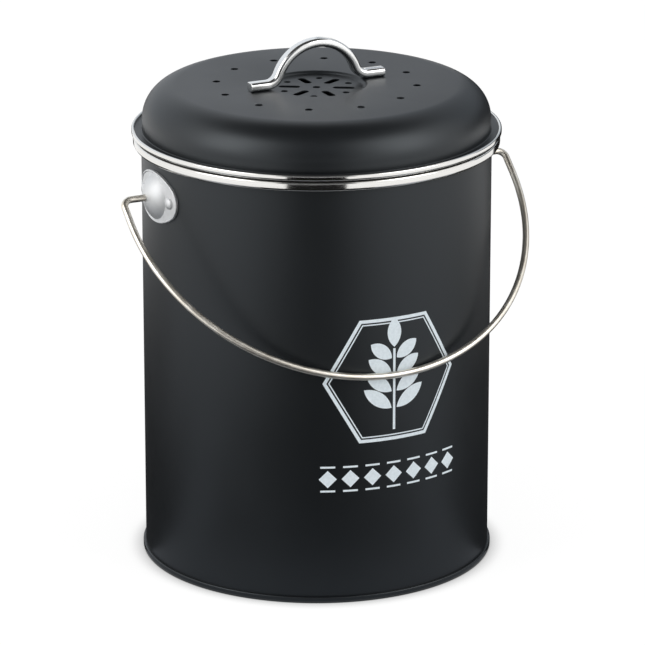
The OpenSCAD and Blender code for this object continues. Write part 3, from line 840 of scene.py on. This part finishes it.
def light_world(ambient):
    """A room that looks white and lights the object with the ambient strength."""
    world = bpy.data.worlds.new("studio")
    scene.world = world
    world.use_nodes = True
    nodes, links = world.node_tree.nodes, world.node_tree.links
    room, white = nodes["Background"], nodes.new("ShaderNodeBackground")
    for background, strength in ((room, ambient), (white, 1.0)):
        background.inputs["Color"].default_value = (1, 1, 1, 1)
        background.inputs["Strength"].default_value = strength
    seen = see_as_white(nodes, links, room.outputs[0], white.outputs[0])
    links.new(seen, nodes["World Output"].inputs["Surface"])


def lay_floor():
    """A floor that looks white, with a faint shadow from the lamps and a painted contact shadow under the
    object's edge.
    """
    bm = bmesh.new()
    bmesh.ops.create_grid(bm, x_segments=1, y_segments=1, size=6)
    floor = new_object("floor", new_mesh("floor", bm))
    material, nodes, links, shader = new_material("floor_white")
    shader.inputs["Base Color"].default_value = (0.9, 0.9, 0.9, 1)
    shader.inputs["Roughness"].default_value = 0.9
    shader.inputs["Specular IOR Level"].default_value = 0.0
    # Painted shade: ambient occlusion darkens the floor's glow where it meets the object's foot
    painted_contact_shade = nodes.new("ShaderNodeAmbientOcclusion")
    painted_contact_shade.inputs["Distance"].default_value = 0.01
    glow = nodes.new("ShaderNodeEmission")
    links.new(painted_contact_shade.outputs["Color"], glow.inputs["Color"])
    glow.inputs["Strength"].default_value = 1.17
    lit = nodes.new("ShaderNodeMixShader")
    lit.inputs[0].default_value = 0.75
    links.new(shader.outputs[0], lit.inputs[1])
    links.new(glow.outputs[0], lit.inputs[2])
    seen = see_as_white(nodes, links, shader.outputs[0], lit.outputs[0])
    links.new(seen, nodes["Material Output"].inputs["Surface"])
    floor.data.materials.append(material)


def hang_softbox(name, azimuth, elevation, distance, wide, tall, radiance):
    """A softbox that points at the middle of the object and that the camera doesn't see."""
    a, e = math.radians(CAMERA_TURN + azimuth), math.radians(elevation)
    lamp = bpy.data.lights.new(name, "AREA")
    lamp.shape, lamp.size, lamp.size_y = "RECTANGLE", wide, tall
    lamp.energy = radiance * math.pi * wide * tall
    box = new_object(name, lamp)
    box.location = (
        math.sin(a) * math.cos(e) * distance, -math.cos(a) * math.cos(e) * distance,
        AIM_HEIGHT + math.sin(e) * distance)
    aim = Vector((0, 0, AIM_HEIGHT)) - box.location
    box.rotation_euler = aim.to_track_quat("-Z", "Y").to_euler()
    box.visible_camera = False


def swept_card(ends, azimuth, half_angle):
    """Sweeps a line between two (radius, height) ends about the object's axis."""
    start = math.radians(CAMERA_TURN + azimuth - 90 - half_angle)
    bm = bmesh.new()
    verts = [bm.verts.new((r * math.cos(start), r * math.sin(start), z)) for r, z in ends]
    edge = bm.edges.new(verts)
    sweep(bm, verts + [edge], ORIGIN, UP, 2 * half_angle, 24)
    return bm


def flat_card(azimuth, half_angle, near, far, height):
    """A level sector of a ring, from near to far."""
    return swept_card(((near, height), (far, height)), azimuth, half_angle)


def upright_card(azimuth, half_angle, distance, low, high):
    """An upright curved card at a distance."""
    return swept_card(((distance, low), (distance, high)), azimuth, half_angle)


def set_card(name, shape, colour):
    """A glowing card that only shows in reflections: a painted reflection, dark where it stands for a
    studio's flag, grey or light where it stands for shaded floor or a lit wall.
    """
    card = new_object(name, new_mesh(name, shape))
    material, nodes, links, _ = new_material(name)
    glow = nodes.new("ShaderNodeEmission")
    glow.inputs["Color"].default_value = (*colour, 1)
    links.new(glow.outputs[0], nodes["Material Output"].inputs["Surface"])
    card.data.materials.append(material)
    card.visible_camera = card.visible_diffuse = card.visible_shadow = False
    card.visible_transmission = card.visible_volume_scatter = False


def grey(level):
    """A neutral colour."""
    return (level, level, level)


light_world(ambient=0.5)
lay_floor()
hang_softbox("left_softbox", -62, 28, distance=2.0, wide=1.1, tall=1.5, radiance=2.4)
hang_softbox("right_softbox", 62, 28, distance=2.0, wide=1.1, tall=1.5, radiance=2.2)
# Painted reflections: the flags, screens, rear flags and ceiling paint dark surroundings, floor_near and
# floor_middle paint the floor's shade near the object, and the rear wall cards paint lit walls
set_card("front_flag_near", flat_card(0, 55, 0.15, 0.34, FLAG_Z), grey(0.01))
set_card("front_flag_middle", flat_card(0, 34, 0.34, 0.62, FLAG_Z), grey(0.01))
set_card("front_flag_far", flat_card(0, 17.5, 0.62, 1.6, FLAG_Z), grey(0.01))
set_card("front_screen_low", upright_card(0, 24, 2.6, 0.1, 1.0), grey(0.03))
set_card("front_screen_high", upright_card(0, 24, 2.6, 1.0, 3.6), (0.14, 0.145, 0.155))
set_card("floor_near", flat_card(0, 78, BUCKET_EDGE, 0.34, CARD_Z), (0.31, 0.33, 0.36))
set_card("floor_middle", flat_card(-4, 98, 0.34, 0.62, CARD_Z), (0.48, 0.50, 0.53))
set_card("rear_flag_near", flat_card(180, 102, BUCKET_EDGE, 0.34, CARD_Z), grey(0.02))
set_card("rear_flag_middle", flat_card(176, 82, 0.34, 0.62, CARD_Z), grey(0.04))
set_card("rear_flag_far", flat_card(171, 31, 0.62, 3.0, CARD_Z), grey(0.01))
set_card("right_flag", upright_card(142, 30, 2.6, 0.0, 0.7), grey(0.03))
set_card("rear_wall_left", upright_card(-147, 33, 2.9, 0.3, 3.0), (0.84, 0.88, 0.93))
set_card("rear_wall_right", upright_card(147, 33, 2.9, 0.7, 3.0), (0.48, 0.52, 0.57))
set_card("ceiling", flat_card(0, 180, 0.0, 2.0, 2.6), grey(0.06))


# ------------------------------------------------------------------ camera

# Place and angles fitted to the photograph, in metres and radians
CAMERA_DISTANCE, CAMERA_HEIGHT = 2.2, 0.83291
LOOK_DOWN, LOOK_RIGHT = 0.31304, 0.001385

camera = new_object("camera", bpy.data.cameras.new("camera"))
camera.data.sensor_width = 36.0
camera.data.lens = 248.0
camera.data.clip_start, camera.data.clip_end = 0.1, 30
turn = math.radians(CAMERA_TURN)
camera.location = (CAMERA_DISTANCE * math.sin(turn), -CAMERA_DISTANCE * math.cos(turn), CAMERA_HEIGHT)
camera.rotation_euler = (math.pi / 2 - LOOK_DOWN, 0, turn - LOOK_RIGHT)
scene.camera = camera
